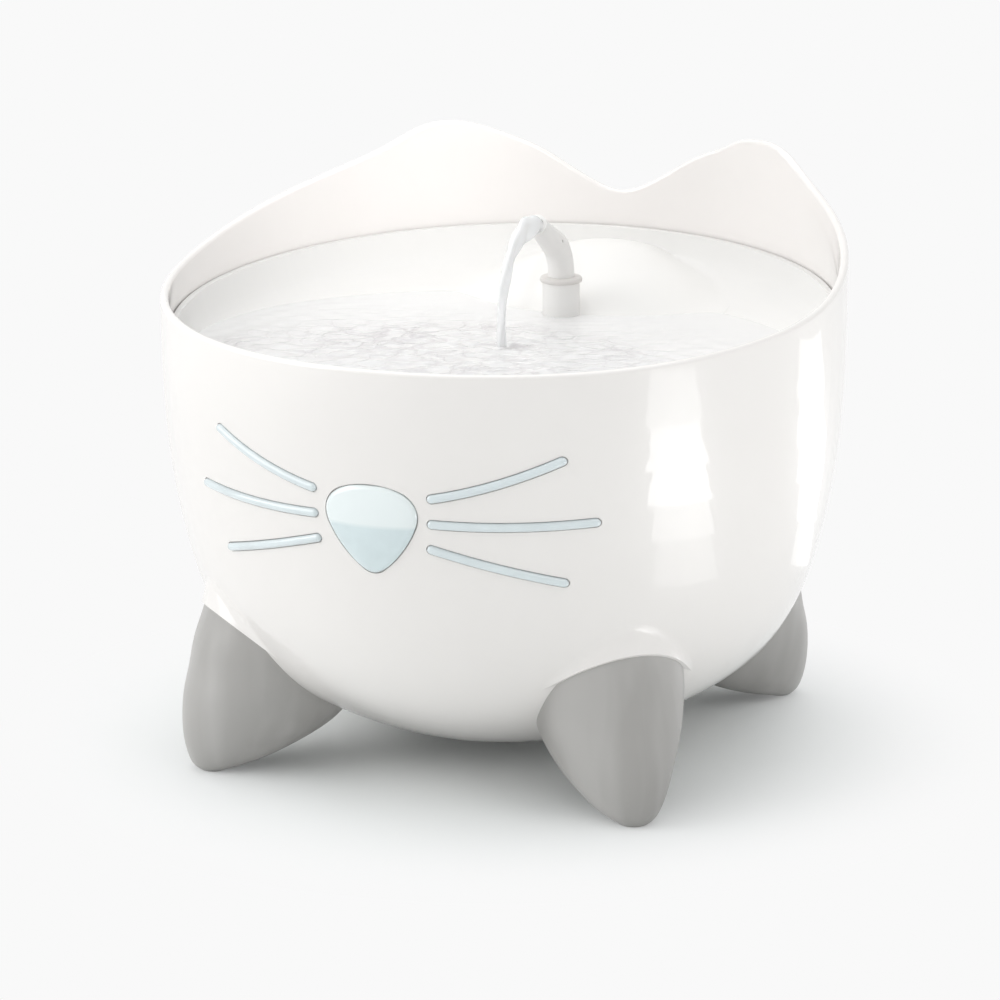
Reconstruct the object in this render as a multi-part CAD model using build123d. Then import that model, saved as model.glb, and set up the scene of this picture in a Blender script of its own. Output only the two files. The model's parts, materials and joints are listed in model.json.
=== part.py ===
from build123d import *
import os
from math import atan, cos, hypot, radians, sin, tan

# Pet water fountain, millimetres, +Z up. The origin is on the ground under the bowl's centre.
# The face looks towards -Y and the ears stand at the back, towards +Y.

# ---------------------------------------------------------------- driving dimensions
# bowl
rim_radius = 122.5
bowl_wall = 3.0
front_rim_height = 161.3
side_rim_rise = 9.9       # above the front of the rim
ear_rise = 34.8           # above the sides of the rim
saddle_drop = 25.8        # below the ears
ear_angle = 32.0          # ear peak, measured from the back centre line
rim_rounding = 1.2
floor_disc_radius = 30.0
bowl_clearance = 8.0      # underside of the bowl above the ground

# legs and feet
leg_angle = 45.0
leg_top_inset = 9.3       # top front corner of the foot, inwards of the rim
leg_top_height = 59.3
leg_heel_inset = 55.5     # rear corner of the foot, under the bowl
leg_heel_height = 20.0
cowl_step = 1.2           # how far the white cowl stands proud of the foot at its top
cowl_blend = 5.0
anchor_inset = 29.5
anchor_radius = 4.0
anchor_head_radius = 6.5
anchor_head_thickness = 2.0
anchor_low = 23.0
anchor_high = 45.0
anchor_boss_wall = 3.0
anchor_end_gap = 0.5

# face
nose_drop = 50.5          # below the tray's rim plane; keeps the lamp under the dish
# the nose as a triangle with its point down, about its own centre, before its corners are rounded
nose_half_width = 18.5
nose_top = 9.1            # of its upper corners
nose_point = 17.8         # below its centre
nose_top_bulge = 6.0
nose_side_bulge = 3.5
nose_corner = 9.3
nose_point_rounding = 5.8
lens_depth = 1.4
lens_seat = 4.0           # width of the step the lens sits on
lens_proud = 1.0
lens_edge = 0.9
inlay_clearance = 0.12
whisker_width = 3.3
whisker_depth = 0.9
whisker_proud = 0.8
# inner end, middle and outer end of each whisker's centre line, about the nose's centre
whisker_lines = {
    "top": ((21.6, 11.6), (42.0, 16.9), (62.5, 25.0)),
    "middle": ((21.4, 2.6), (46.6, 2.2), (71.5, 3.0)),
    "bottom": ((20.8, -6.4), (41.0, -12.3), (61.4, -18.2)),
}

# sealed lamp behind the nose
lamp_half_width = 24.0
lamp_half_height = 21.0
lamp_wall = 4.0
lamp_inset = 18.5         # the cover's seat, inwards of the rim
lamp_room = 10.5          # depth of the room behind the nose
lamp_cover_thickness = 2.5
gasket_thickness = 0.8
lamp_screw_radius = 1.25
lamp_screw_head_radius = 2.4
lamp_screw_head_height = 1.6
lamp_screw_slot_width = 0.8
lamp_screw_slot_depth = 0.6
lamp_screw_length = 5.0
lamp_ease = 0.5           # between the board and the walls round it
grommet_wall = 1.5
grommet_lip = 1.2
grommet_lip_thickness = 1.5
board_thickness = 1.6
led_size = 3.4
led_height = 1.6
led_pitch = 8.0

# drinking tray
tray_gap = 0.4            # radial, to the bowl's wall
tray_wall = 2.2
tray_drop = 3.8           # rim plane at the axis, below the front of the bowl's rim
tray_rise = 9.5           # rim plane's rise from the axis to the back
tray_seat_depth = 16.5    # ledge below the rim plane
seat_rib_top = 9.0        # below the rim plane
ledge_width = 8.0
ledge_thickness = 3.0
ledge_front_gap = 100.0   # the ledge is open here, so that the overflow runs back
seat_rib_width = 2.6
seat_rib_inset = 3.9
mound_inset = 10.5        # its centre, inwards of the rim at the back
mound_rise = 4.5          # above the tray's rim plane at the axis
mound_fall = 28.0         # from its top to its skirt
mound_spread = 65.0
drain_count = 7
drain_pitch = 9.0         # degrees
drain_width = 5.0
drain_height = 3.0
drain_depth = 1.6         # lower edge, below the water's surface
drain_reach = 14.0
water_drop = 13.1         # surface of the pool, below the tray's rim plane

# spout and its post
post_inset = 65.3         # its axis, inwards of the rim at the back
post_drop = 1.0           # its top, below the tray's rim plane
post_radius = 6.95
post_bore_radius = 5.4
post_bore_depth = 10.8
post_throat_radius = 4.2
socket_radius = 8.9
socket_length = 38.5      # from the post's top to the socket's lower end
socket_depth = 19.0       # of the riser tube's seat
socket_crown = 8.0        # above that seat
collar_radius = 7.85
collar_thickness = 2.2
collar_neck_radius = 5.95
collar_neck_length = 3.0
running_gap = 0.07
spout_radius = 4.9
spout_bore_radius = 3.5
spout_bend_radius = 16.0
spout_bend_angle = 60.0
spout_nozzle_length = 20.0
mouth_radius = 3.4
mouth_bore_radius = 2.6
mouth_lip = 0.45
mouth_lip_length = 1.5
spout_vent_radius = 0.6
spout_vent_place = 3.0    # along the nozzle
spout_foot_gap = 0.3
ring_section_radius = 0.63
ring_squeeze = 0.04       # radial gap left between the ring and the post's bore
ring_groove_half_width = 0.75
ring_drop = 6.5           # below the post's top

# pump, on a flat pad in the bowl's floor
pad_half_width = 24.0
pad_front = 6.0
pad_back = 56.0
pad_height = 17.0
cup_height = 5.0
cup_radius = 6.0
cup_neck = 1.5
cup_hollow = 1.2
cup_stem_radius = 2.0
cup_stem_gap = 0.4
cup_inset = 7.0
pump_half_width = 21.0
pump_height = 34.0
pump_front = 16.0
pump_back = 54.0
chamber_radius = 14.0
chamber_depth = 10.0
rotor_can_radius = 6.6
rotor_can_depth = 23.0
rotor_can_wall = 1.5
outlet_radius = 4.8
outlet_bore_radius = 3.5
outlet_height = 10.0
outlet_place = 21.0
stator_wall = 2.5
stator_place = 31.0
pump_corner = 3.0
cover_thickness = 4.5
intake_slots = 6
intake_slot_width = 2.0
intake_slot_pitch = 4.0
intake_slot_height = 18.0
intake_thickness = 1.8    # of the plate between the slots
rail_depth = 3.0          # groove on each side of the cover, for the filter's hooks
rail_front = 2.4
rail_back = 4.5
impeller_blades = 6
impeller_radius = 11.5
impeller_thickness = 6.0
impeller_hub_radius = 3.6
impeller_web = 1.2
impeller_gap = 1.0        # behind the chamber's mouth
blade_thickness = 1.4
magnet_radius = 6.0
magnet_length = 20.0
shaft_radius = 1.0
bush_radius = 3.0
bush_length = 3.0
bush_inset = 0.5

# filter, in front of the pump
filter_gap = 0.4
case_depth = 11.5
case_height = 48.0
case_wall = 1.6
case_lip = 2.0
case_slot_width = 3.0
case_slot_pitch = 6.0
case_slot_low = 7.0       # above the case's floor
case_slot_margin = 5.0    # below the pump's top
case_hook_reach = 2.5     # of the hooks into the cover's grooves
pad_ease = 0.3
pad_top_gap = 4.0

# riser tube
riser_wall = 1.2
riser_gap = 0.35
riser_end_gap = 0.5
riser_overlap = 2.0       # its lower end, above the pump's top
riser_ease = 12.7         # straight tube between each bend's corner and the fitting beside it

# low-voltage inlet and leads
inlet_height = 50.0
inlet_boss_radius = 10.0
inlet_boss_inset = 17.5   # its outer face, inwards of the rim at the back
inlet_boss_depth = 12.0
inlet_flange_radius = 8.5
inlet_flange_thickness = 2.0
inlet_barrel_radius = 5.5
inlet_seal_thickness = 0.6
inlet_nut_radius = 9.0
inlet_nut_thickness = 2.0
inlet_block_half_width = 9.0
inlet_block_half_height = 7.0
inlet_block_depth = 8.0
inlet_block_rounding = 1.2
socket_bore_radius = 2.8
socket_bore_depth = 10.0
contact_radius = 1.0
contact_root = 2.5        # how far the pin runs on behind the socket
contact_gap = 1.0         # from the pin's tip to the socket's mouth
led_lead_radius = 1.3
led_lead_gap = 1.0        # to the wall it runs down
pump_lead_radius = 1.8
pump_lead_drop = 6.0      # where it leaves the pump, below the inlet
lead_offset = 4.0
bend_share = 0.45         # of the shorter run beside a corner that its bend takes
clip_width = 5.0
clip_half_length = 3.5
clip_roof = 1.8
clip_rounding = 2.0
clip_places = (-24.0, -15.0)

# ---------------------------------------------------------------- derived places
side_rim_height = front_rim_height + side_rim_rise
ear_height = side_rim_height + ear_rise
saddle_height = ear_height - saddle_drop
wall_foot_height = front_rim_height + 1.7   # below this the wall starts to curve in
bowl_inner_radius = rim_radius - bowl_wall
lamp_face = rim_radius - lamp_inset
lamp_back = lamp_face + lamp_room
anchor_reach = rim_radius - anchor_inset
leg_top_reach = rim_radius - leg_top_inset
leg_heel_reach = rim_radius - leg_heel_inset
tray_height = front_rim_height - tray_drop
nose_height = tray_height - nose_drop
water_height = tray_height - water_drop
mound_centre = rim_radius - mound_inset
mound_height = tray_height + mound_rise
post_place = rim_radius - post_inset
post_top = tray_height - post_drop
post_shoulder = post_top - post_bore_depth
ring_height = post_top - ring_drop
socket_low = post_top - socket_length
socket_stop = socket_low + socket_depth
inlet_boss_back = rim_radius - inlet_boss_inset
inlet_boss_front = inlet_boss_back - inlet_boss_depth
tray_radius = bowl_inner_radius - tray_gap
tray_tilt = atan(tray_rise / tray_radius)
ear_place = (rim_radius * sin(radians(ear_angle)), rim_radius * cos(radians(ear_angle)))
pump_low = pad_height + cup_height
pump_middle = pump_low + pump_height / 2
pump_top = pump_low + pump_height
cover_front = pump_front - cover_thickness
case_back = cover_front - filter_gap
case_front = case_back - case_depth
floor_height = bowl_clearance + bowl_wall
above_all = ear_height + bowl_clearance
big = 3 * rim_radius

# the bowl's outer wall as (radius, height), from the straight part down to the flat disc
bowl_curve = [
    (rim_radius, wall_foot_height),
    (rim_radius - 0.2, 143),
    (rim_radius - 1.1, 122),
    (rim_radius - 3.2, 102),
    (rim_radius - 6.9, 82),
    (rim_radius - 12.6, 62),
    (rim_radius - 24.2, 41),
    (rim_radius - 43.5, bowl_clearance + 17.5),
    (rim_radius - 66.5, bowl_clearance + 5.6),
    (floor_disc_radius, bowl_clearance),
]

# leg sections as (height, outer and inner reach less the rim's radius, half width)
leg_stations = [
    (0, -5.0, -14.0, 5.0),
    (2, -2.5, -23.0, 8.3),
    (5, -1.0, -33.5, 11.7),
    (9.5, 0.2, -44.5, 15.0),
    (15.5, 0.9, -55.5, 18.3),
    (22.5, 0.7, -61.5, 21.4),
    (33.5, -1.5, -62.5, 25.0),
    (43, -3.8, -62.5, 26.5),
    (51, -6.2, -62.5, 26.5),
    (59, -8.8, -62.5, 24.5),
    (65, -10.1, -62.5, 21.4),
    (70, -12.3, -62.5, 17.0),
    (75, -15.5, -62.5, 11.5),
]
leg_turns = {
    "front_left": -90 - leg_angle,
    "front_right": -90 + leg_angle,
    "back_left": 90 + leg_angle,
    "back_right": 90 - leg_angle,
}

# the dish's upper side as (radius, height) from the tray's rim plane
dish_curve = [
    (tray_radius - tray_wall, 0),
    (tray_radius - tray_wall - 1.1, -6),
    (tray_radius - tray_wall - 4.0, -12),
    (tray_radius - tray_wall - 13, -17.2),
    (tray_radius - tray_wall - 31, -21.4),
    (tray_radius - tray_wall - 57, -23.6),
    (floor_disc_radius, -24.4),
]


# ---------------------------------------------------------------- helpers
def parallel(points, distance):
    """The same curve moved towards the axis (or away, if negative) by a distance."""
    moved = []
    last = len(points) - 1
    for index, (radius, height) in enumerate(points):
        before = points[max(index - 1, 0)]
        after = points[min(index + 1, last)]
        step = (after[0] - before[0], after[1] - before[1])
        if index == last:
            step = (-1, 0)
        length = hypot(*step)
        moved.append((radius + distance * step[1] / length, height - distance * step[0] / length))
    return moved


def turned(points, start=(0, -1)):
    """Solid of revolution under a smooth curve that ends level at the middle."""
    curve = Spline(*points, tangents=[start, (-1, 0)])
    first = points[0]
    low = points[-1]
    outline = curve + Polyline(low, (0, low[1]), (0, first[1]), first)
    return revolve(Plane.XZ * make_face(outline), Axis.Z)


def bowl_form(inset):
    """The bowl's outer form, or the same form inside it by a wall, without its rim shape."""
    curve = parallel(bowl_curve, inset)
    radius, height = curve[0]
    upper = Pos(0, 0, (height + above_all) / 2) * Cylinder(radius, above_all - height)
    return turned(curve) + upper


def slab(x, y, z):
    """Box between two limits on each axis."""
    size = (x[1] - x[0], y[1] - y[0], z[1] - z[0])
    return Pos((x[0] + x[1]) / 2, (y[0] + y[1]) / 2, (z[0] + z[1]) / 2) * Box(*size)


def post(radius, low, high, x=0, y=0):
    """Upright cylinder between two heights."""
    return Pos(x, y, (low + high) / 2) * Cylinder(radius, high - low)


def rod(radius, front, back, z, x=0):
    """Cylinder along Y between two places."""
    return Pos(x, (front + back) / 2, z) * Rot(90, 0, 0) * Cylinder(radius, back - front)


def tilted(shape):
    """Puts a shape made about the tray's rim plane where the tray lies."""
    frame = Plane(origin=(0, 0, tray_height), x_dir=(1, 0, 0), z_dir=(0, -sin(tray_tilt), cos(tray_tilt)))
    return frame.location * shape


def at_leg(shape, side):
    """Turns a shape made along +X to one of the four legs."""
    return Rot(0, 0, leg_turns[side]) * shape


def lead(points, radius, x):
    """Round lead through (y, z) points, its bends as large as its runs allow."""
    bends = []
    for before, corner, after in zip(points, points[1:], points[2:]):
        run_in = (corner[0] - before[0], corner[1] - before[1])
        run_out = (after[0] - corner[0], after[1] - corner[1])
        turn = Vector(*run_in, 0).get_angle(Vector(*run_out, 0))
        shorter = min(hypot(*run_in), hypot(*run_out))
        bends.append(bend_share * shorter / tan(radians(turn / 2)))
    path = FilletPolyline(*[Vector(x, y, z) for y, z in points], radius=bends)
    start = Plane(origin=path @ 0, z_dir=path % 0)
    return sweep(start * Circle(radius), path=path)


# ---------------------------------------------------------------- bowl
def leg_form(top_growth):
    """One leg along +X, swollen by a growth that runs out from the foot's top to its heel."""
    sections = []
    for height, outer, inner, half_width in leg_stations:
        share = (height - leg_heel_height) / (leg_top_height - leg_heel_height)
        growth = top_growth * min(max(share, 0), 1)
        middle = Plane(origin=(rim_radius + (outer + inner) / 2, 0, height))
        sections.append(middle * Ellipse((outer - inner) / 2 + growth, half_width + growth))
    return loft(sections)


def leg_joint_plane():
    """Slanting plane between the white cowl above and the foot below."""
    reach = leg_top_reach - leg_heel_reach
    rise = leg_top_height - leg_heel_height
    heel = (leg_heel_reach, 0, leg_heel_height)
    return Plane(origin=heel, x_dir=(reach, 0, rise), z_dir=(-rise, 0, reach))


def rim_cut():
    """What is cut off above the rim: a side outline for the flanks, a back outline for the saddle."""
    side_points = [
        (-rim_radius, front_rim_height),
        (-rim_radius / 2, front_rim_height + side_rim_rise * 0.303),
        (0, side_rim_height),
        (rim_radius * 0.34, side_rim_height + ear_rise * 0.282),
        (rim_radius * 0.57, side_rim_height + ear_rise * 0.526),
        (rim_radius * 0.73, side_rim_height + ear_rise * 0.793),
        (ear_place[1], ear_height),
    ]
    side = Spline(*side_points, tangents=[(1, 0), (1, 0)])
    side += Polyline(side_points[-1], (big, ear_height), (big, big), (-big, big),
                     (-big, front_rim_height), side_points[0])
    flank = extrude(Plane.YZ * make_face(side), amount=big, both=True)
    half = [
        (0, saddle_height),
        (ear_place[0] * 0.17, saddle_height + saddle_drop * 0.13),
        (ear_place[0] * 0.33, saddle_height + saddle_drop * 0.36),
        (ear_place[0] * 0.49, saddle_height + saddle_drop * 0.6),
        (ear_place[0] * 0.68, saddle_height + saddle_drop * 0.8),
        (ear_place[0], ear_height),
    ]
    mirrored = [(-x, z) for x, z in half[:0:-1]]
    back_points = mirrored + half
    back = Spline(*back_points, tangents=[(1, 0), (1, 0)])
    back += Polyline(back_points[-1], (big, ear_height), (big, big), (-big, big),
                     (-big, ear_height), back_points[0])
    saddle = extrude(Plane.XZ * make_face(back), amount=big, both=True)
    return flank + saddle


def nose_outline(inset):
    """The nose as a face in the XZ plane: a rounded triangle with its point down."""
    left = (-nose_half_width, nose_height + nose_top)
    right = (nose_half_width, nose_height + nose_top)
    point = (0, nose_height - nose_point)
    top_mid = (0, nose_height + nose_top + nose_top_bulge)
    side = (right[0] - point[0], right[1] - point[1])
    bulge = nose_side_bulge / hypot(*side)
    right_mid = (side[0] / 2 + bulge * side[1], point[1] + side[1] / 2 - bulge * side[0])
    left_mid = (-right_mid[0], right_mid[1])
    face = make_face(ThreePointArc(left, top_mid, right) + ThreePointArc(right, right_mid, point)
                     + ThreePointArc(point, left_mid, left))
    face = fillet(face.vertices().sort_by(Axis.Y)[1:], nose_corner)
    face = fillet(face.vertices().sort_by(Axis.Y)[0], nose_point_rounding)
    if inset:
        arcs = offset(face, -inset).edges()
        face = make_face([ThreePointArc(arc @ 0, arc @ 0.5, arc @ 1) for arc in arcs])
    return face


def through_front(face):
    """Runs a face of the XZ plane through the bowl's front wall."""
    front = Plane(origin=(0, -rim_radius / 2, 0), x_dir=(1, 0, 0), z_dir=(0, -1, 0))
    return extrude(front * face, amount=rim_radius)


def whisker_outline(row, side, grow):
    """One whisker as a face in the XZ plane, with round ends."""
    points = [(side * x, nose_height + z) for x, z in whisker_lines[row]]
    return SlotArc(ThreePointArc(*points), height=whisker_width + 2 * grow)


def lamp_screw_places():
    inset = lamp_screw_head_radius
    across = lamp_half_width - inset
    up = lamp_half_height - inset
    return [(x, nose_height + z) for x in (-across, across) for z in (-up, up)]


def cowl_edges(body):
    """Upper edges where the cowls meet the wall."""
    edges = []
    for edge in body.edges():
        box = edge.bounding_box()
        on_cowl = leg_top_height + cowl_blend < box.max.Z < leg_stations[-1][0]
        if on_cowl and box.size.Z < 0.8 * edge.length:
            edges.append(edge)
    return edges


def make_bowl(outer, inner, skins):
    body = outer
    cowl = split(leg_form(cowl_step), bisect_by=leg_joint_plane(), keep=Keep.TOP)
    for side in leg_turns:
        body += at_leg(cowl, side)
    body = fillet(cowl_edges(body), cowl_blend)
    body -= inner
    # ledge that carries the tray, open at the front
    ledge = Pos(0, 0, -tray_seat_depth - ledge_thickness / 2) * (
        Cylinder(big, ledge_thickness) - Cylinder(bowl_inner_radius - ledge_width, ledge_thickness))
    front_gap = slab((-ledge_front_gap / 2, ledge_front_gap / 2), (-big, -rim_radius / 2), (0, big))
    ledge = tilted(ledge) - front_gap
    inside = ledge
    # pad under the pump, sockets for the feet's anchors, frame round the lamp, boss round the inlet
    inside += slab((-pad_half_width, pad_half_width), (pad_front, pad_back), (bowl_clearance, pad_height))
    boss = post(anchor_radius + anchor_boss_wall, anchor_low, anchor_high + anchor_boss_wall, x=anchor_reach)
    for side in leg_turns:
        inside += at_leg(boss, side)
    inside += slab((-lamp_half_width, lamp_half_width), (-rim_radius, -lamp_face),
                   (nose_height - lamp_half_height, nose_height + lamp_half_height))
    inside = inside & outer
    body += inside
    body += rod(inlet_boss_radius, inlet_boss_front, inlet_boss_back, inlet_height)
    # holes and recesses
    for side in leg_turns:
        body -= at_leg(post(anchor_radius, 0, anchor_high, x=anchor_reach), side)
    body -= slab((-lamp_half_width + lamp_wall, lamp_half_width - lamp_wall), (-lamp_back, -lamp_face),
                 (nose_height - lamp_half_height + lamp_wall, nose_height + lamp_half_height - lamp_wall))
    body -= through_front(nose_outline(lens_seat)) - slab((-big, big), (-lamp_face, big), (0, big))
    for x, z in lamp_screw_places():
        body -= rod(lamp_screw_radius, -lamp_face - lamp_screw_length, -lamp_face, z, x=x)
    body -= rod(inlet_boss_radius, inlet_boss_back, big, inlet_height)
    body -= rod(inlet_barrel_radius, inlet_boss_front, inlet_boss_back, inlet_height)
    body -= through_front(nose_outline(-inlay_clearance)) - skins["lens"]
    for row in whisker_lines:
        for side in (-1, 1):
            body -= through_front(whisker_outline(row, side, inlay_clearance)) - skins["whisker"]
    body -= rim_cut()
    return body


def rounded_rim(bowl):
    """Rounds both edges of the rim."""
    edges = []
    for face in bowl.faces():
        box = face.bounding_box()
        level = box.min.Z > front_rim_height - 1 and box.max.Z < ear_height + 1
        if level and face.normal_at(face.center()).Z > 0.3:
            edges += face.edges().filter_by(lambda edge: edge.length > 2 * bowl_wall)
    return edges


def make_inlay(outline, proud, depth_skin, edge):
    """Plate that fills its pocket in the wall and stands proud of it by a little."""
    plate = (through_front(outline) & bowl_form(-proud)) - depth_skin
    rim = plate.faces().sort_by(Axis.Y)[0].edges()
    return fillet(rim, edge)


# ---------------------------------------------------------------- feet
def make_foot(outer):
    foot = split(leg_form(0), bisect_by=leg_joint_plane(), keep=Keep.BOTTOM)
    foot -= post(anchor_radius, anchor_low, anchor_high, x=anchor_reach)
    foot -= post(anchor_head_radius, anchor_low, anchor_low + anchor_head_thickness, x=anchor_reach)
    return foot - outer


def make_anchor():
    peg = post(anchor_radius, anchor_low, anchor_high - anchor_end_gap, x=anchor_reach)
    return peg + post(anchor_head_radius, anchor_low, anchor_low + anchor_head_thickness, x=anchor_reach)


# ---------------------------------------------------------------- lamp
def make_lamp(made):
    lid = -lamp_face + gasket_thickness
    across = (-lamp_half_width, lamp_half_width)
    up = (nose_height - lamp_half_height, nose_height + lamp_half_height)
    gasket = slab(across, (-lamp_face, lid), up)
    gasket -= slab((across[0] + lamp_wall, across[1] - lamp_wall), (-lamp_face, lid),
                   (up[0] + lamp_wall, up[1] - lamp_wall))
    cover = slab(across, (lid, lid + lamp_cover_thickness), up)
    cover = fillet(cover.edges().filter_by(Axis.Y), lamp_wall / 2)
    outlet = (-lead_offset, lid, up[0] + lamp_wall + led_lead_radius + 2 * grommet_wall)
    screws = []
    for x, z in lamp_screw_places():
        head_seat = lid + lamp_cover_thickness
        gasket -= rod(lamp_screw_radius, -lamp_face, lid, z, x=x)
        cover -= rod(lamp_screw_radius, lid, head_seat, z, x=x)
        screw = rod(lamp_screw_radius, -lamp_face - lamp_screw_length + lamp_ease, head_seat, z, x=x)
        head_top = head_seat + lamp_screw_head_height
        head = rod(lamp_screw_head_radius, head_seat, head_top, z, x=x)
        head -= slab((x - lamp_screw_head_radius, x + lamp_screw_head_radius),
                     (head_top - lamp_screw_slot_depth, head_top),
                     (z - lamp_screw_slot_width / 2, z + lamp_screw_slot_width / 2))
        screws.append(screw + head)
    grommet_radius = led_lead_radius + grommet_wall
    lip_seat = lid + lamp_cover_thickness
    cover -= rod(grommet_radius, lid, lip_seat, outlet[2], x=outlet[0])
    grommet = rod(grommet_radius, lid, lip_seat, outlet[2], x=outlet[0])
    lip_end = lip_seat + grommet_lip_thickness
    grommet += rod(grommet_radius + grommet_lip, lip_seat, lip_end, outlet[2], x=outlet[0])
    grommet -= rod(led_lead_radius, lid, lip_end, outlet[2], x=outlet[0])
    board = slab((across[0] + lamp_wall + lamp_ease, across[1] - lamp_wall - lamp_ease),
                 (lid - board_thickness, lid),
                 (outlet[2] + grommet_radius + grommet_wall, up[1] - lamp_wall - lamp_ease))
    leds = []
    for step in (-1, 0, 1):
        x = step * led_pitch
        leds.append(slab((x - led_size / 2, x + led_size / 2), (lid - board_thickness - led_height,
                    lid - board_thickness), (nose_height - led_size / 2, nose_height + led_size / 2)))
    made["light_box_gasket"] = gasket
    made["light_box_cover"] = cover
    made["light_box_screws"] = Compound(children=screws)
    made["lead_grommet"] = grommet
    made["led_board"] = board
    made["leds"] = Compound(children=leds)
    return outlet


# ---------------------------------------------------------------- tray
def mound_form(drop):
    """Solid under the mound's bell-shaped surface, lowered by a drop."""
    bell = [
        (0, mound_height),
        (mound_spread * 0.29, mound_height - mound_fall * 0.08),
        (mound_spread * 0.46, mound_height - mound_fall * 0.22),
        (mound_spread * 0.7, mound_height - mound_fall * 0.46),
        (mound_spread * 0.86, mound_height - mound_fall * 0.71),
        (mound_spread, mound_height - mound_fall),
    ]
    low = socket_low
    outline = Spline(*bell, tangents=[(1, 0), (0.55, -1)])
    outline += Polyline(bell[-1], (mound_spread, low), (0, low), bell[0])
    solid = revolve(Plane.XZ * make_face(outline), Axis.Z)
    return Pos(0, mound_centre, -drop) * solid


def make_tray():
    lean = (-0.15, -1)
    under = parallel(dish_curve, -tray_wall)
    full = tilted(turned(under, lean))
    hollow = tilted(turned(dish_curve, lean))
    mound = mound_form(0) & full
    tray = (full - hollow) + mound
    inside = tilted(post(tray_radius - 2 * tray_wall, -socket_length, tray_drop + mound_rise))
    tray -= mound_form(tray_wall) & inside
    # rib that sits on the bowl's ledge
    rib_outer = tray_radius - seat_rib_inset
    rib = post(rib_outer, -tray_seat_depth, -seat_rib_top)
    rib -= post(rib_outer - seat_rib_width, -tray_seat_depth, -seat_rib_top)
    air = hollow - mound
    tray += tilted(rib) - hollow
    # post for the spout and socket for the riser tube
    tray += post(post_radius, socket_stop, post_top, y=post_place)
    tray += post(socket_radius, socket_low, socket_stop + socket_crown, y=post_place) - air
    tray -= post(collar_neck_radius, post_top - collar_neck_length, big, y=post_place)
    tray -= post(post_bore_radius, post_shoulder, post_top, y=post_place)
    tray -= post(post_throat_radius, socket_low, post_shoulder, y=post_place)
    tray -= post(outlet_radius + riser_wall + riser_gap, socket_low, socket_stop, y=post_place)
    # overflow slots at the front, their lip just under the water's surface
    drain_low = water_height - drain_depth
    for index in range(drain_count):
        angle = (index - (drain_count - 1) / 2) * drain_pitch
        slot = slab((-drain_width / 2, drain_width / 2), (-rim_radius, -tray_radius + drain_reach),
                    (drain_low, drain_low + drain_height))
        slot = fillet(slot.edges().filter_by(Axis.Y), drain_height * 0.48)
        tray -= Rot(0, 0, angle) * slot
    return tray


# ---------------------------------------------------------------- spout
def make_collar():
    ring = post(collar_radius, post_top, post_top + collar_thickness, y=post_place)
    ring = fillet(ring.edges(), collar_thickness * 0.42)
    neck_low = post_top - collar_neck_length
    ring += post(collar_neck_radius, neck_low, post_top + collar_thickness / 2, y=post_place)
    return ring - post(spout_radius + running_gap, post_shoulder, above_all, y=post_place)


def spout_path():
    start = (0, post_place, post_shoulder + spout_foot_gap)
    bend = (0, post_place, post_top + collar_thickness)
    stub = Line(start, bend)
    turn = radians(spout_bend_angle)
    middle, end = [
        (0, post_place - spout_bend_radius * (1 - cos(angle)), bend[2] + spout_bend_radius * sin(angle))
        for angle in (turn / 2, turn)
    ]
    return stub + ThreePointArc(bend, middle, end), end, Vector(0, -sin(turn), cos(turn))


def nozzle(base_radius, tip_radius, start, direction, length):
    base = Plane(origin=start, z_dir=direction)
    tip = Plane(origin=Vector(*start) + direction * length, z_dir=direction)
    return loft([base * Circle(base_radius), tip * Circle(tip_radius)])


def make_spout():
    path, end, direction = spout_path()
    foot = Plane(origin=path @ 0, z_dir=(0, 0, 1))
    outside = sweep(foot * Circle(spout_radius), path=path)
    outside += nozzle(spout_radius, mouth_radius, end, direction, spout_nozzle_length)
    lip_start = Vector(*end) + direction * (spout_nozzle_length - mouth_lip_length)
    lip_radius = mouth_radius + mouth_lip
    outside += nozzle(lip_radius, lip_radius, lip_start, direction, mouth_lip_length)
    bore = sweep(foot * Circle(spout_bore_radius), path=path)
    bore += nozzle(spout_bore_radius, mouth_bore_radius, end, direction, spout_nozzle_length)
    vent_place = Vector(*end) + direction * spout_vent_place
    vent = Pos(spout_radius, vent_place.Y, vent_place.Z) * Rot(0, 90, 0) * Cylinder(
        spout_vent_radius, 2 * spout_radius)
    groove = (ring_height - ring_groove_half_width, ring_height + ring_groove_half_width)
    groove = post(spout_radius + bowl_wall, *groove, y=post_place) - post(
        ring_inner_radius() - ring_squeeze, *groove, y=post_place)
    return outside - bore - vent - groove


def ring_inner_radius():
    return post_bore_radius - ring_squeeze - 2 * ring_section_radius


def make_o_ring():
    major = ring_inner_radius() + ring_section_radius
    return Pos(0, post_place, ring_height) * Torus(major, ring_section_radius)


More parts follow.
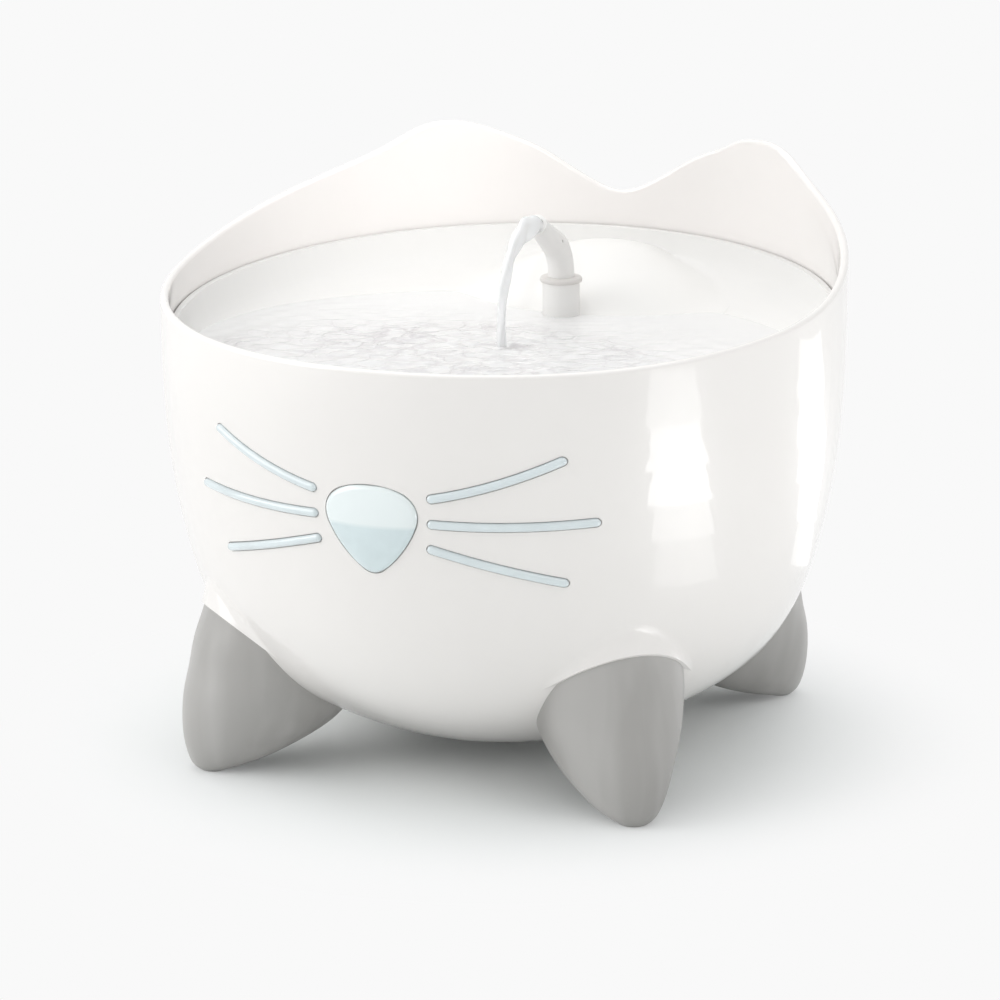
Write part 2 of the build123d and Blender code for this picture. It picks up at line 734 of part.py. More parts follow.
# ---------------------------------------------------------------- pump
def make_pump(made):
    width = (-pump_half_width, pump_half_width)
    body = slab(width, (pump_front, pump_back), (pump_low, pump_top))
    body = fillet(body.edges().filter_by(Axis.Y), pump_corner)
    body += post(outlet_radius, pump_middle + chamber_radius, pump_top + outlet_height, y=outlet_place)
    body -= rod(chamber_radius, pump_front, pump_front + chamber_depth, pump_middle)
    can_back = pump_front + chamber_depth + rotor_can_depth
    body -= rod(rotor_can_radius, pump_front, can_back, pump_middle)
    body -= rod(bush_radius, can_back, can_back + bush_length, pump_middle)
    bore_low = pump_middle + impeller_radius - blade_thickness
    body -= post(outlet_bore_radius, bore_low, pump_top + outlet_height, y=outlet_place)
    stator = slab((width[0] + stator_wall, width[1] - stator_wall), (stator_place, pump_back - stator_wall),
                  (pump_low + stator_wall, pump_top - stator_wall))
    core = rod(rotor_can_radius + rotor_can_wall, stator_place, pump_back - stator_wall, pump_middle)
    stator -= core
    body -= stator
    lead_height = inlet_height - pump_lead_drop
    body -= rod(pump_lead_radius, pump_back - stator_wall, pump_back, lead_height, x=lead_offset)
    cup_y = (pump_front + cup_inset, pump_back - cup_inset)
    cup_x = (-pump_half_width + cup_inset, pump_half_width - cup_inset)
    cups = []
    for x in cup_x:
        for y in cup_y:
            stem = post(cup_stem_radius, pump_low, pump_low + stator_wall - cup_stem_gap, x=x, y=y)
            body -= stem
            cone = cup_height - cup_neck
            cup = Pos(x, y, pad_height + cone / 2) * Cone(cup_radius, 1.5 * cup_stem_radius, cone)
            cup += post(1.5 * cup_stem_radius, pad_height + cone, pump_low, x=x, y=y)
            hollow = Pos(x, y, pad_height + cup_hollow / 2) * Cone(
                cup_radius - cup_stem_radius / 2, cup_stem_radius / 2, cup_hollow)
            cups.append(cup + stem - hollow)
    made["pump_body"] = body
    made["pump_stator"] = stator
    made["suction_cups"] = Compound(children=cups)
    # cover with the intake grille
    cover = slab(width, (cover_front, pump_front), (pump_low, pump_top))
    cover = fillet(cover.edges().filter_by(Axis.Y), pump_corner)
    cover -= rod(chamber_radius - rotor_can_wall, cover_front + intake_thickness, pump_front, pump_middle)
    for index in range(intake_slots):
        x = (index - (intake_slots - 1) / 2) * intake_slot_pitch
        cover -= slab((x - intake_slot_width / 2, x + intake_slot_width / 2),
                      (cover_front, cover_front + intake_thickness),
                      (pump_middle - intake_slot_height / 2, pump_middle + intake_slot_height / 2))
    bush_back = pump_front - bush_inset
    bush_front = bush_back - bush_length
    cover += rod(bush_radius + rotor_can_wall, cover_front, bush_back, pump_middle)
    cover -= rod(bush_radius, bush_front, bush_back, pump_middle)
    for side in (-1, 1):
        rail_x = sorted((side * pump_half_width, side * (pump_half_width - rail_depth)))
        cover -= slab(rail_x, (cover_front + rail_front, cover_front + rail_back), (0, pump_top))
    made["pump_cover"] = cover
    # impeller on its magnet, turning on a fixed shaft between two bushes
    front = pump_front + impeller_gap
    web_front = front + impeller_thickness
    hub_back = web_front + impeller_web
    impeller = rod(impeller_hub_radius, front, hub_back, pump_middle)
    impeller += rod(impeller_radius, web_front, hub_back, pump_middle)
    for index in range(impeller_blades):
        blade = slab((-blade_thickness / 2, blade_thickness / 2), (front, hub_back),
                     (impeller_hub_radius - blade_thickness, impeller_radius))
        impeller += Pos(0, 0, pump_middle) * Rot(0, index * 360 / impeller_blades, 0) * blade
    magnet = rod(magnet_radius, hub_back, hub_back + magnet_length, pump_middle)
    shaft_hole = shaft_radius + running_gap
    made["impeller"] = impeller - rod(shaft_hole, front, hub_back, pump_middle)
    made["impeller_magnet"] = magnet - rod(shaft_hole, hub_back, hub_back + magnet_length, pump_middle)
    shaft_front = bush_front + bush_inset
    made["impeller_shaft"] = rod(shaft_radius, shaft_front, can_back + bush_length, pump_middle)
    rear = rod(bush_radius, can_back, can_back + bush_length, pump_middle)
    made["shaft_bush_rear"] = rear - made["impeller_shaft"]
    fore = rod(bush_radius, bush_front, bush_back, pump_middle)
    made["shaft_bush_front"] = fore - rod(shaft_hole, shaft_front, bush_back, pump_middle)


def make_filter(made):
    half = pump_half_width
    low = pump_low
    case = slab((-half, half), (case_front, case_back), (low, low + case_height))
    case = fillet(case.edges().filter_by(Axis.Z), pump_corner - 0.5)
    room = ((-half + case_wall, half - case_wall), (case_front + case_wall, case_back - case_wall))
    case -= slab(room[0], room[1], (low + case_wall, low + case_height))
    slots = int((half - case_slot_margin) * 2 // case_slot_pitch)
    for index in range(slots):
        x = (index - (slots - 1) / 2) * case_slot_pitch
        case -= slab((x - case_slot_width / 2, x + case_slot_width / 2), (case_front, case_back),
                     (low + case_slot_low, low + pump_height - case_slot_margin))
    # lips that reach back round the cover and hook into its side grooves
    for side in (-1, 1):
        lip_x = side * (half + filter_gap + case_lip)
        wall_x = sorted((side * (half + filter_gap), lip_x))
        root_x = sorted((side * (half - 2 * case_lip), lip_x))
        hook_x = sorted((side * (half - case_hook_reach), lip_x))
        high = (low + case_lip, low + pump_height - case_lip)
        hook = (cover_front + rail_front + filter_gap, cover_front + rail_back - filter_gap)
        case += slab(wall_x, (case_back - case_wall, hook[1]), high)
        case += slab(root_x, (case_back - case_wall, case_back), high)
        case += slab(hook_x, hook, high)
    across, along = [(ends[0] + pad_ease, ends[1] - pad_ease) for ends in room]
    pad = slab(across, along, (low + case_wall, low + case_height - pad_top_gap))
    made["filter_case"] = case
    made["filter_pad"] = fillet(pad.edges().filter_by(Axis.Z), pump_corner - case_wall)


def make_riser():
    low = pump_top + riser_overlap
    high = socket_stop - riser_end_gap
    first = pump_top + outlet_height + riser_ease
    second = socket_low - riser_ease
    turn = atan((post_place - outlet_place) / (second - first))
    points = [(outlet_place, low), (outlet_place, first), (post_place, second), (post_place, high)]
    path = FilletPolyline(*[Vector(0, y, z) for y, z in points], radius=riser_ease / tan(turn / 2))
    start = Plane(origin=path @ 0, z_dir=path % 0)
    outside = sweep(start * Circle(outlet_radius + riser_wall), path=path)
    return outside - sweep(start * Circle(outlet_radius), path=path)


# ---------------------------------------------------------------- inlet and leads
def make_inlet(made):
    seal_back = inlet_boss_back + inlet_seal_thickness
    flange_back = seal_back + inlet_flange_thickness
    block_back = inlet_boss_front - inlet_nut_thickness
    block_front = block_back - inlet_block_depth
    inlet = rod(inlet_barrel_radius, block_back, seal_back, inlet_height)
    inlet += rod(inlet_flange_radius, seal_back, flange_back, inlet_height)
    block = slab((-inlet_block_half_width, inlet_block_half_width), (block_front, block_back),
                 (inlet_height - inlet_block_half_height, inlet_height + inlet_block_half_height))
    inlet += fillet(block.edges(), inlet_block_rounding)
    inlet -= rod(socket_bore_radius, flange_back - socket_bore_depth, flange_back, inlet_height)
    pin_front = flange_back - socket_bore_depth - contact_root
    inlet -= rod(contact_radius, pin_front, flange_back, inlet_height)
    seal = rod(inlet_flange_radius, inlet_boss_back, seal_back, inlet_height)
    seal -= rod(inlet_barrel_radius, inlet_boss_back, seal_back, inlet_height)
    nut = Pos(0, (block_back + inlet_boss_front) / 2, inlet_height) * Rot(90, 0, 0) * extrude(
        RegularPolygon(inlet_nut_radius, 6), amount=(inlet_boss_front - block_back) / 2, both=True)
    nut -= rod(inlet_barrel_radius, block_back, inlet_boss_front, inlet_height)
    made["power_inlet"] = inlet
    made["inlet_pin"] = rod(contact_radius, pin_front, flange_back - contact_gap, inlet_height)
    made["inlet_seal"] = seal
    made["inlet_nut"] = nut
    return block_front, inlet_height - inlet_block_half_height


def make_leads(made, lamp_outlet, block_front, block_low):
    lamp_start = lamp_outlet[1] - board_thickness
    reach = lamp_outlet[1] + 9
    on_floor = floor_height + led_lead_radius + 0.3
    on_pad = pad_height + led_lead_radius + 0.5
    wall_run = parallel(bowl_curve, bowl_wall + led_lead_radius + led_lead_gap)[-4:-1]
    run = [
        (lamp_start, lamp_outlet[2]),
        (reach, lamp_outlet[2]),
        (reach - 2, lamp_outlet[2] - 15),
        *[(-radius, height) for radius, height in wall_run],
        (clip_places[0] - 6, on_floor + 0.3),
        (clip_places[1] + 3, on_floor),
        (pad_front - 8, on_floor + 2),
        (pad_front, on_pad + 0.4),
        (pad_front + 14, on_pad),
        (pad_back - 4, on_pad + 0.2),
        (block_front - 17, inlet_height / 2),
        (block_front - 6, inlet_height / 2 + 6.5),
        (block_front + 4, block_low - 8),
        (block_front + 4, block_low),
    ]
    made["led_lead"] = lead(run, led_lead_radius, -lead_offset)
    height = inlet_height - pump_lead_drop
    span = block_front - pump_back
    supply = [
        (pump_back - stator_wall, height),
        (pump_back + span * 0.34, height),
        (pump_back + span * 0.66, inlet_height),
        (block_front, inlet_height),
    ]
    made["pump_lead"] = lead(supply, pump_lead_radius, lead_offset)
    clips = []
    for place in clip_places:
        clip = slab((-lead_offset - clip_half_length, -lead_offset + clip_half_length),
                    (place - clip_width / 2, place + clip_width / 2),
                    (floor_height, floor_height + 2 * led_lead_radius + clip_roof))
        top = clip.faces().sort_by(Axis.Z)[-1]
        clips.append(fillet(top.edges().filter_by(Axis.Y), clip_rounding) - made["led_lead"])
    made["lead_clips"] = Compound(children=clips)


# ---------------------------------------------------------------- assembly
def main():
    made = {}
    outer = bowl_form(0)
    inner = bowl_form(bowl_wall)
    skins = {"lens": bowl_form(lens_depth), "whisker": bowl_form(whisker_depth)}
    bowl = make_bowl(outer, inner, skins)
    bowl = fillet(rounded_rim(bowl), rim_rounding)
    made["reservoir_bowl"] = bowl
    foot = make_foot(outer)
    anchors = []
    for side in leg_turns:
        made["foot_" + side] = at_leg(foot, side)
        anchors.append(at_leg(make_anchor(), side))
    made["foot_anchors"] = Compound(children=anchors)
    made["nose_lens"] = make_inlay(nose_outline(0), lens_proud, skins["lens"], lens_edge)
    for row in whisker_lines:
        for side, name in ((-1, "left"), (1, "right")):
            outline = whisker_outline(row, side, 0)
            made["whisker_" + name + "_" + row] = make_inlay(
                outline, whisker_proud, skins["whisker"], whisker_proud / 2)
    lamp_outlet = make_lamp(made)
    made["drinking_tray"] = make_tray()
    made["spout_collar"] = make_collar()
    made["spout"] = make_spout()
    made["spout_o_ring"] = make_o_ring()
    make_pump(made)
    make_filter(made)
    made["riser_tube"] = make_riser()
    block_front, block_low = make_inlet(made)
    make_leads(made, lamp_outlet, block_front, block_low)
    os.makedirs("parts", exist_ok=True)
    for name, shape in made.items():
        export_step(shape, "parts/" + name + ".step")


main()
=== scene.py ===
"""Looks of the pet water fountain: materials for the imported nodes, the crowned nose and whiskers,
the soft foot of the tray's mound, the water, the stage, the light and the camera."""

import json
from math import atan, cos, pi, radians, sin, sqrt

import bmesh
import bpy
import numpy as np
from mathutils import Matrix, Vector


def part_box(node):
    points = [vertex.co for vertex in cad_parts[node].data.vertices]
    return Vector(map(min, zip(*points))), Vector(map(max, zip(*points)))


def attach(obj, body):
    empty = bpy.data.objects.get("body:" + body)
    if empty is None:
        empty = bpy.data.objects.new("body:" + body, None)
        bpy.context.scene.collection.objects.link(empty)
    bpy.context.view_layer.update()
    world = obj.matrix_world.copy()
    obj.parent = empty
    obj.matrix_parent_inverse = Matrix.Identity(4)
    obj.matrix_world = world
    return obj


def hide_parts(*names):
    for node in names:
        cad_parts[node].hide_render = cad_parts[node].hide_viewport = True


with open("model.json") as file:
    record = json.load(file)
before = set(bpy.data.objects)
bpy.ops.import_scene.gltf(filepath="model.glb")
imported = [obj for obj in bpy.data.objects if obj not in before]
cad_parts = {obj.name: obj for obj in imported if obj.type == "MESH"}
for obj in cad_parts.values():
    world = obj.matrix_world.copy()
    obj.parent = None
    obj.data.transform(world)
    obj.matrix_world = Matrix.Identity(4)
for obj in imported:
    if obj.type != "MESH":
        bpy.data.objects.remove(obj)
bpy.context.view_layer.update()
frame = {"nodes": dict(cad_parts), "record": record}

# ------------------------------------------- sizes, in millimetres in the frame's own axes
MM = 0.001
rim_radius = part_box("reservoir_bowl")[1][0] / MM
tray_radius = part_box("drinking_tray")[1][0] / MM

# drinking tray
tray_height = 157.5         # its rim plane, at the bowl's axis
tray_back_rise = 9.5        # of that plane, from the axis to the back
tray_tilt = atan(tray_back_rise / tray_radius)
dish_wall = 2.2
dish_radius = tray_radius - dish_wall
# the dish from its rim inwards: distance from its axis, height over the rim plane
dish_curve = [
    (dish_radius, 0),
    (dish_radius - 1.1, -6),
    (dish_radius - 4.0, -12),
    (dish_radius - 13, -17.2),
    (dish_radius - 31, -21.4),
    (dish_radius - 57, -23.6),
    (30, -24.4),
    (1, -24.4),
]
outside_dish = 200.0        # height given for places past the dish's wall
mound_centre = 112.0        # behind the bowl's axis
# the mound from its top outwards: distance from its centre, height
mound_bell = [(0, 162.0), (18.9, 159.8), (29.9, 155.8), (45.5, 149.1), (55.9, 142.1), (65.0, 134.0)]
mound_blend_width = 6.0     # difference of height over which the water's edge rounds its foot

# soft foot of the mound
foot_turn = 130.0           # degrees from the front to each side on which it is sought
foot_spokes = 261
foot_search = (20, 100, 0.1)    # distances from the mound's centre that are tried
foot_points = 29            # across the band
foot_width = 13.0           # difference of height over which it rounds the crease, at the front
foot_least_width = 0.05     # and at its ends
foot_wall_gap = 1.5         # between its ends and the dish's wall
foot_cover = 0.04           # of the band over the mound and the dish
foot_depth = 0.4            # of its underside in them

# nose and whiskers
inlay_gap = 0.3             # round the nose, for the dark line of its recess
inlay_foot = -1.2           # underside of the nose, from the wall's surface
nose_height = 107.0
# right half of the outline about the nose's centre, from its top to its point
nose_half = [(0, 15.0), (6.0, 14.6), (11.6, 12.7), (15.3, 9.5), (16.8, 5.4), (15.8, 0.4),
             (12.9, -5.2), (8.6, -10.9), (3.8, -15.2), (0, -16.6)]
nose_half_points = 80
nose_edge = 0.15            # how far its outline stands proud of the wall
nose_bevel = 1.5            # width of its rounded edge
nose_bevel_rise = 0.75
nose_crown = 2.0            # further rise of its middle
nose_tip = 0.02             # share of the outline left for the flat in the middle
nose_rings = np.concatenate([[nose_tip], np.linspace(0.08, 0.84, 20), np.linspace(0.86, 1, 15)])
# start, middle and end of each whisker's arc on the right side, about the nose's centre
whisker_lines = {
    "top": ((21.6, 11.6), (42.0, 16.9), (62.5, 25.0)),
    "middle": ((21.4, 2.6), (46.6, 2.2), (71.5, 3.0)),
    "bottom": ((20.8, -6.4), (41.0, -12.3), (61.4, -18.2)),
}
whisker_half_width = 1.65
whisker_gap = inlay_gap * 0.7
whisker_edge = 0.1          # how far its long edges stand proud of the wall
whisker_crown = 1.15        # further rise of its middle
whisker_foot = -0.75
whisker_least_width = 0.05
whisker_cap_steps = 8
whisker_bar_steps = 60
whisker_section_points = 17
# the front wall's profile: height, radius
wall_curve = [(163, rim_radius), (143, rim_radius - 0.2), (122, rim_radius - 1.1),
              (102, rim_radius - 3.2), (82, rim_radius - 6.9), (62, rim_radius - 12.6)]

# water in the tray
water_height = 144.4
water_middle = (0.0, -18.0)     # a place from which the pool's whole edge can be seen
water_spokes = 256
water_search = (0.5, 150, 0.5)  # distances from that place that are tried
water_rings = 130
water_first_ring = 0.004
water_overlap = 0.6         # of the water's edge into the tray
still_share = 0.05          # outermost share of the pool, where the ripples die down
ripple_middle = (-12.0, -34.0)
ripple_reach = (92.0, 70.0)
ring_height, ring_fade, ring_rate = 0.4, 10, 0.9
chop_height = 0.3
# height, then for each crossing wave: rates along x and y, swing of its bend, the bend's rates
# along x and y, start; the rates are in radians per millimetre
chop_trains = [
    (1.0, (0.34, 0.21, 2.1, 0, 0.07), (-0.16, 0.45, 1.7, 0.09)),
    (0.7, (0, 0.62, 1.4, 0.13, 0.05), (0.24, 0, 0, 0, 0, 0.5)),
    (0.4, (-0.35, 0.95, 0.8, 0.2)),
]

# stream: its middle line in the plane x = 0, as (y, z), from inside the spout's mouth to the pool
stream_line = [(34.2, 181.2), (29.5, 183.3), (21.5, 183.3), (13.0, 180.6), (6.0, 176.0),
               (1.5, 169.0), (-1.2, 160.0), (-2.4, 151.0), (-2.8, 143.8)]
stream_start = (-0.866, 0.5)    # direction in the nozzle
stream_end = (-0.05, -1)
# share of the way, half the width and half the thickness there
stream_sections = [(0, 2.5, 2.5), (0.1, 3.4, 2.6), (0.3, 4.2, 2.3),
                   (0.6, 2.5, 1.8), (0.9, 1.5, 1.4), (1, 1.9, 1.8)]
stream_rings = 90
stream_section_points = 40
stream_turn = 2.4           # of the flat section, in radians over its whole length
stream_sway, stream_sway_rate = 0.9, 4.2
stream_knots = [(0.14, 3, 11), (0.1, 2, -23)]   # height, lobes round the section, rate along it
stream_bare_share = 0.12    # of the way, over which the knots grow


# ------------------------------------------- geometry helpers
def smooth_through(points, count, start=None, end=None):
    """Evenly spaced points on a smooth curve through the given ones; start and end are the
    directions of its ends."""
    given = np.array(points, float)
    along = np.concatenate([[0], np.cumsum(np.linalg.norm(np.diff(given, axis=0), axis=1))])
    step = np.diff(along)
    slope = np.diff(given, axis=0) / step[:, None]
    last = len(given) - 1
    left = np.eye(last + 1)
    right = np.zeros_like(given)
    for i in range(1, last):
        left[i, i - 1:i + 2] = (step[i], 2 * (step[i - 1] + step[i]), step[i - 1])
        right[i] = 3 * (step[i] * slope[i - 1] + step[i - 1] * slope[i])
    for i, neighbour, direction, chord in ((0, 1, start, slope[0]), (last, last - 1, end, slope[-1])):
        if direction is None:
            left[i, neighbour] = 0.5
            right[i] = 1.5 * chord
        else:
            right[i] = np.array(direction, float) / np.linalg.norm(direction)
    tangent = np.linalg.solve(left, right)
    wanted = np.linspace(0, along[-1], count)
    i = np.clip(np.searchsorted(along, wanted, side="right") - 1, 0, last - 1)
    t = ((wanted - along[i]) / step[i])[:, None]
    h = step[i][:, None]
    return ((2 * t**3 - 3 * t**2 + 1) * given[i] + (t**3 - 2 * t**2 + t) * h * tangent[i]
            + (3 * t**2 - 2 * t**3) * given[i + 1] + (t**3 - t**2) * h * tangent[i + 1])


def soft_max(a, b, width):
    """The larger of two heights, rounded where they cross."""
    near = np.maximum(width - np.abs(a - b), 0) / width
    return np.maximum(a, b) + near * near * width / 4


class Shell:
    """Points in millimetres and faces, gathered into one mesh."""

    def __init__(self):
        self.points = []
        self.faces = []

    def grid(self, rows, last_cap=True):
        """Closed rings of points joined into a skin, with a cap on the first ring and the last."""
        rows = np.asarray(rows, float)
        height, width = rows.shape[:2]
        self.points = [tuple(p) for p in rows.reshape(-1, 3)]
        for i in range(height - 1):
            for j in range(width):
                a = i * width + j
                b = i * width + (j + 1) % width
                self.faces.append((a, b, b + width, a + width))
        self.faces.append(tuple(range(width - 1, -1, -1)))
        if last_cap:
            end = (height - 1) * width
            self.faces.append(tuple(range(end, end + width)))
        return self

    def build(self, name, body, slot, material, replaces=(), sharp=35):
        """The mesh as a piece that rides on a body; edges over sharp degrees stay crisp."""
        mesh = bpy.data.meshes.new(name)
        mesh.from_pydata((np.array(self.points) * MM).tolist(), [], self.faces)
        edit = bmesh.new()
        edit.from_mesh(mesh)
        bmesh.ops.recalc_face_normals(edit, faces=edit.faces)
        edit.to_mesh(mesh)
        edit.free()
        obj = bpy.data.objects.new(name, mesh)
        bpy.context.scene.collection.objects.link(obj)
        mesh.shade_smooth()
        mesh.set_sharp_from_angle(angle=radians(sharp))
        mesh.materials.append(material)
        if replaces:
            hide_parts(*replaces)
        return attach(obj, body)


# ------------------------------------------- material helpers
noise_span = (0.35, 0.65)   # where most of a noise texture's values lie


def new_material(name):
    material = bpy.data.materials.new(name)
    material.use_nodes = True
    nodes = material.node_tree.nodes
    return material, nodes, material.node_tree.links, nodes["Principled BSDF"]


def own_place(nodes):
    """Place in the object's own space, in metres."""
    return nodes.new("ShaderNodeTexCoord").outputs["Object"]


def noise(nodes, links, scale, detail, stretch=(1, 1, 1)):
    """Noise in the object's own space, where scale is in cells per metre."""
    mapping = nodes.new("ShaderNodeMapping")
    mapping.inputs["Scale"].default_value = stretch
    texture = nodes.new("ShaderNodeTexNoise")
    texture.inputs["Scale"].default_value = scale
    texture.inputs["Detail"].default_value = detail
    links.new(own_place(nodes), mapping.inputs["Vector"])
    links.new(mapping.outputs["Vector"], texture.inputs["Vector"])
    return texture.outputs["Fac"]


def mapped(nodes, links, value, low, high, span=noise_span, way="LINEAR"):
    """Brings a value that runs over the span to a range from low to high."""
    node = nodes.new("ShaderNodeMapRange")
    node.interpolation_type = way
    node.inputs["From Min"].default_value, node.inputs["From Max"].default_value = span
    node.inputs["To Min"].default_value = low
    node.inputs["To Max"].default_value = high
    links.new(value, node.inputs["Value"])
    return node.outputs["Result"]


def computed(nodes, links, operation, *values, kind="ShaderNodeMath", output=0):
    """Result of a math node, whose inputs are sockets to link or constants."""
    node = nodes.new(kind)
    node.operation = operation
    for socket, value in zip(node.inputs, values):
        if isinstance(value, bpy.types.NodeSocket):
            links.new(value, socket)
        else:
            socket.default_value = value
    return node.outputs[output]


def distance_from_axis(nodes, links, place):
    return computed(nodes, links, "LENGTH", place, kind="ShaderNodeVectorMath", output="Value")


def blended(nodes, links, value, first, second):
    """Colour between two, by a value; the first may be a socket."""
    node = nodes.new("ShaderNodeMix")
    node.data_type = "RGBA"
    node.clamp_factor = False
    if isinstance(first, bpy.types.NodeSocket):
        links.new(first, node.inputs["A"])
    else:
        node.inputs["A"].default_value = (*first, 1)
    node.inputs["B"].default_value = (*second, 1)
    links.new(value, node.inputs["Factor"])
    return node.outputs["Result"]


def bumped(nodes, links, shader, layers):
    """Bump from several (height, distance in millimetres, strength) layers."""
    previous = None
    for height, distance, strength in layers:
        bump = nodes.new("ShaderNodeBump")
        bump.inputs["Distance"].default_value = distance * MM
        bump.inputs["Strength"].default_value = strength
        links.new(height, bump.inputs["Height"])
        if previous:
            links.new(previous, bump.inputs["Normal"])
        previous = bump.outputs["Normal"]
    links.new(previous, shader.inputs["Normal"])


def darkened(colour, share):
    return tuple(share * c for c in colour)


# ------------------------------------------- materials
def plastic(name, colour, roughness, coat=0.0, grain=0.0, tint=0.015, specular=0.5, painted_reflection_streak=0.0):
    """Moulded plastic or rubber: the colour drifts down by the tint, handled patches are a little
    duller, and the surface has a slight wave and a fine grain. Where given, upright bands are
    darkened: painted reflection streaks of the surroundings on the satin surface."""
    wear = 0.06
    material, nodes, links, shader = new_material(name)
    # random drift of the tone, to which painted reflection streaks may be added
    drift_and_reflection_streaks = mapped(nodes, links, noise(nodes, links, scale=14, detail=2), 0, 1)
    # painted reflection streaks: upright bands darkened in the colour
    if painted_reflection_streak:
        bands = noise(nodes, links, scale=75, detail=2, stretch=(1, 1, 0.07))
        painted_reflection_bands = mapped(nodes, links, bands, 0, 1, span=(0.38, 0.62))
        drift_and_reflection_streaks = computed(nodes, links, "MULTIPLY_ADD", painted_reflection_bands, painted_reflection_streak, drift_and_reflection_streaks)
    darker = tuple(max(c - tint, 0) for c in colour)
    links.new(blended(nodes, links, drift_and_reflection_streaks, colour, darker), shader.inputs["Base Color"])
    smudge = noise(nodes, links, scale=55, detail=6, stretch=(1, 1, 0.4))
    links.new(mapped(nodes, links, smudge, roughness, roughness + wear, span=(0.4, 0.75)),
              shader.inputs["Roughness"])
    wave = noise(nodes, links, scale=90, detail=1)
    pores = noise(nodes, links, scale=2600, detail=2)
    bumped(nodes, links, shader, [(wave, 0.02, 0.25), (pores, 0.02 + grain, 0.12 + 2 * grain)])
    shader.inputs["Specular IOR Level"].default_value = specular
    shader.inputs["Coat Weight"].default_value = coat
    shader.inputs["Coat Roughness"].default_value = 0.04
    return material


def tinted_clear(name, pale, painted_highlight_heights=None):
    """Ice-blue see-through plastic, a little cloudy inside; given two heights, in metres, its colour
    turns paler upwards between them: a painted highlight on its upper part."""
    # paler colour of the painted highlight
    painted_highlight_colour = (0.92, 0.985, 0.99)
    material, nodes, links, shader = new_material(name)
    cloud = noise(nodes, links, scale=120, detail=3)
    colour = blended(nodes, links, mapped(nodes, links, cloud, 0, 1), pale, darkened(pale, 0.95))
    # painted highlight: the colour turns paler upwards, by height in the object's own space
    if painted_highlight_heights:
        split = nodes.new("ShaderNodeSeparateXYZ")
        links.new(own_place(nodes), split.inputs["Vector"])
        painted_highlight_share = mapped(nodes, links, split.outputs["Z"], 0, 1, span=painted_highlight_heights)
        colour = blended(nodes, links, painted_highlight_share, colour, painted_highlight_colour)
    links.new(colour, shader.inputs["Base Color"])
    links.new(mapped(nodes, links, cloud, 0.08, 0.14), shader.inputs["Roughness"])
    bumped(nodes, links, shader, [(noise(nodes, links, scale=1500, detail=2), 0.01, 0.05)])
    shader.inputs["Transmission Weight"].default_value = 0.12
    shader.inputs["IOR"].default_value = 1.5
    shader.inputs["Coat Weight"].default_value = 1.0
    shader.inputs["Coat Roughness"].default_value = 0.03
    return material


def metal(name, colour, roughness):
    """Turned or drawn metal, with fine lines along it."""
    unevenness = 0.15
    material, nodes, links, shader = new_material(name)
    lines = noise(nodes, links, scale=900, detail=4, stretch=(1, 0.08, 1))
    links.new(blended(nodes, links, mapped(nodes, links, lines, 0, 1), colour, darkened(colour, 0.8)),
              shader.inputs["Base Color"])
    links.new(mapped(nodes, links, lines, roughness, roughness + unevenness),
              shader.inputs["Roughness"])
    bumped(nodes, links, shader, [(lines, 0.01, 0.2)])
    shader.inputs["Metallic"].default_value = 1.0
    return material


def foam(name):
    """Open-cell filter foam; each cell is painted darker towards its middle, a painted shade in its
    pores.
    """
    pore_shade_colour, cell_wall = (0.45, 0.5, 0.52), (0.86, 0.88, 0.88)
    material, nodes, links, shader = new_material(name)
    cells = nodes.new("ShaderNodeTexVoronoi")
    cells.inputs["Scale"].default_value = 900
    links.new(own_place(nodes), cells.inputs["Vector"])
    depth = cells.outputs["Distance"]
    # painted shade: darker towards each cell's middle
    links.new(blended(nodes, links, mapped(nodes, links, depth, 0, 1, span=(0.1, 0.6)),
                      pore_shade_colour, cell_wall), shader.inputs["Base Color"])
    bumped(nodes, links, shader, [(depth, 0.8, 0.8)])
    shader.inputs["Roughness"].default_value = 0.9
    return material


def ripple_shade_mask(nodes, links):
    """Mask of the painted ripple shade: 1 along the edges of the small waves in front of the fall,
    less in broader patches, 0 on still water.
    """
    place = own_place(nodes)
    shake = nodes.new("ShaderNodeTexNoise")
    shake.inputs["Scale"].default_value = 70
    shake.inputs["Detail"].default_value = 3
    links.new(place, shake.inputs["Vector"])
    shaken = computed(nodes, links, "MULTIPLY_ADD", shake.outputs["Color"], (0.03, 0.03, 0), place,
                      kind="ShaderNodeVectorMath")
    cells = nodes.new("ShaderNodeTexVoronoi")
    cells.voronoi_dimensions = "2D"
    cells.feature = "DISTANCE_TO_EDGE"
    cells.inputs["Scale"].default_value = 85
    links.new(shaken, cells.inputs["Vector"])
    # painted shade: lines along the cells' edges and broader darker patches
    edge = mapped(nodes, links, cells.outputs["Distance"], 1, 0, span=(0.0, 0.22))
    patches = noise(nodes, links, scale=75, detail=3, stretch=(1, 1.3, 1))
    shade_patches = mapped(nodes, links, patches, 0, 0.6, span=(0.5, 0.68))
    ripple_shade_lines = computed(nodes, links, "MAXIMUM", edge, shade_patches)
    # the choppy patch's oval, brought to a circle of radius 1
    widen = tuple(1 / (half * MM) for half in ripple_reach) + (0,)
    shift = tuple(-m / half for m, half in zip(ripple_middle, ripple_reach)) + (0,)
    oval = computed(nodes, links, "MULTIPLY_ADD", place, widen, shift, kind="ShaderNodeVectorMath")
    within = mapped(nodes, links, distance_from_axis(nodes, links, oval), 1, 0, span=(0.85, 1.02))
    calm = noise(nodes, links, scale=30, detail=2)
    uneven = mapped(nodes, links, calm, 0.35, 1, span=(0.4, 0.6))
    inside = computed(nodes, links, "MULTIPLY", within, uneven)
    return computed(nodes, links, "MULTIPLY", ripple_shade_lines, inside)


